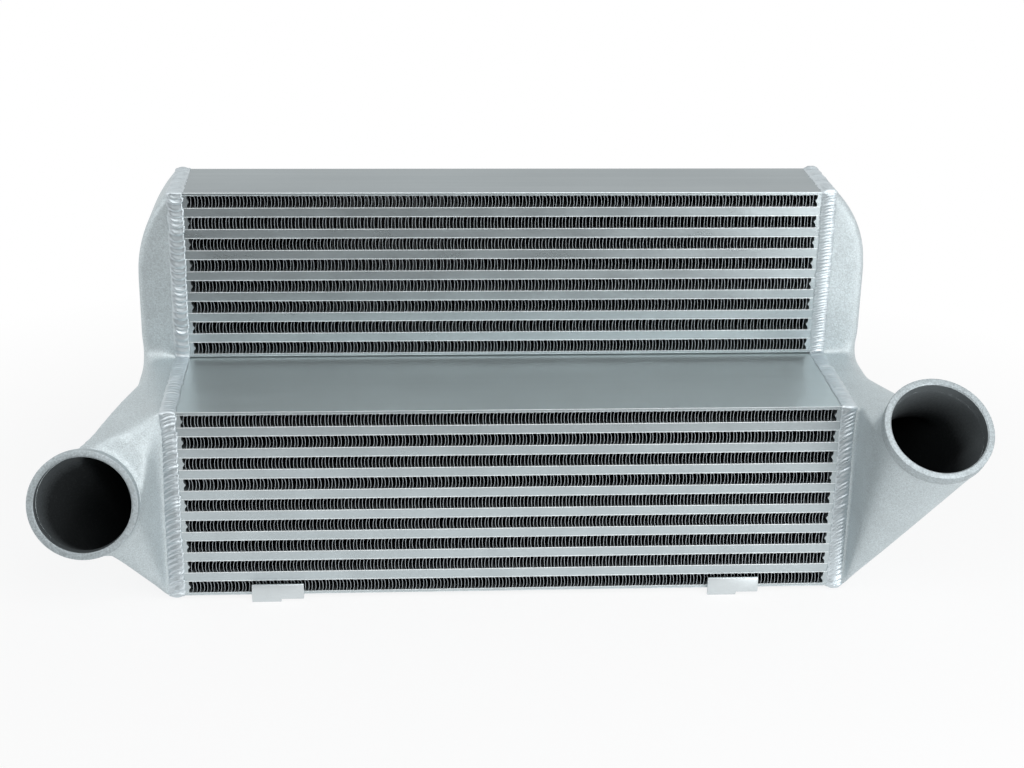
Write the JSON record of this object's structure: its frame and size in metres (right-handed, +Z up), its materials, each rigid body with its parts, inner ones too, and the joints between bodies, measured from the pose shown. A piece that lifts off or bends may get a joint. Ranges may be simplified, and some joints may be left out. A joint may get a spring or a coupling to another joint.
{
  "type": "intercooler",
  "caption": "Stepped bar-and-plate charge-air cooler with a hollow cast end tank and a hose port on each side.",
  "frame": {"origin": "under the middle of the part's bounding box, at its lowest point", "axes": "+Z up; +X from the left tank to the right tank; -Y is the front, to which both ports face"},
  "size_m": [0.7113, 0.2944, 0.2978],
  "materials": {
    "fin": "thin bright folded sheet",
    "tube": "mill finish with a fine grain",
    "plate": "smooth, faintly brushed",
    "cast_tank": "grainy sand casting",
    "weld": "satin rippled weld",
    "bracket": "satin folded sheet"
  },
  "bodies": {
    "root": {"lower_air_fin_1": "fin", "lower_air_fin_2": "fin", "lower_air_fin_3": "fin", "lower_air_fin_4": "fin", "lower_air_fin_5": "fin", "lower_air_fin_6": "fin", "lower_air_fin_7": "fin", "lower_air_fin_8": "fin", "lower_air_fin_9": "fin", "lower_charge_tube_1": "tube", "lower_turbulator_1": "fin", "lower_charge_tube_2": "tube", "lower_turbulator_2": "fin", "lower_charge_tube_3": "tube", "lower_turbulator_3": "fin", "lower_charge_tube_4": "tube", "lower_turbulator_4": "fin", "lower_charge_tube_5": "tube", "lower_turbulator_5": "fin", "lower_charge_tube_6": "tube", "lower_turbulator_6": "fin", "lower_charge_tube_7": "tube", "lower_turbulator_7": "fin", "lower_charge_tube_8": "tube", "lower_turbulator_8": "fin", "lower_left_end_bars": "tube", "lower_right_end_bars": "tube", "lower_bottom_plate": "plate", "lower_top_plate": "plate", "upper_air_fin_1": "fin", "upper_air_fin_2": "fin", "upper_air_fin_3": "fin", "upper_air_fin_4": "fin", "upper_air_fin_5": "fin", "upper_air_fin_6": "fin", "upper_air_fin_7": "fin", "upper_air_fin_8": "fin", "upper_charge_tube_1": "tube", "upper_turbulator_1": "fin", "upper_charge_tube_2": "tube", "upper_turbulator_2": "fin", "upper_charge_tube_3": "tube", "upper_turbulator_3": "fin", "upper_charge_tube_4": "tube", "upper_turbulator_4": "fin", "upper_charge_tube_5": "tube", "upper_turbulator_5": "fin", "upper_charge_tube_6": "tube", "upper_turbulator_6": "fin", "upper_charge_tube_7": "tube", "upper_turbulator_7": "fin", "upper_left_end_bars": "tube", "upper_right_end_bars": "tube", "upper_bottom_plate": "plate", "upper_top_plate": "plate", "left_end_tank": "cast_tank", "left_bracket": "bracket", "right_end_tank": "cast_tank", "right_bracket": "bracket", "weld_beads": "weld"}
  },
  "joints": []
}
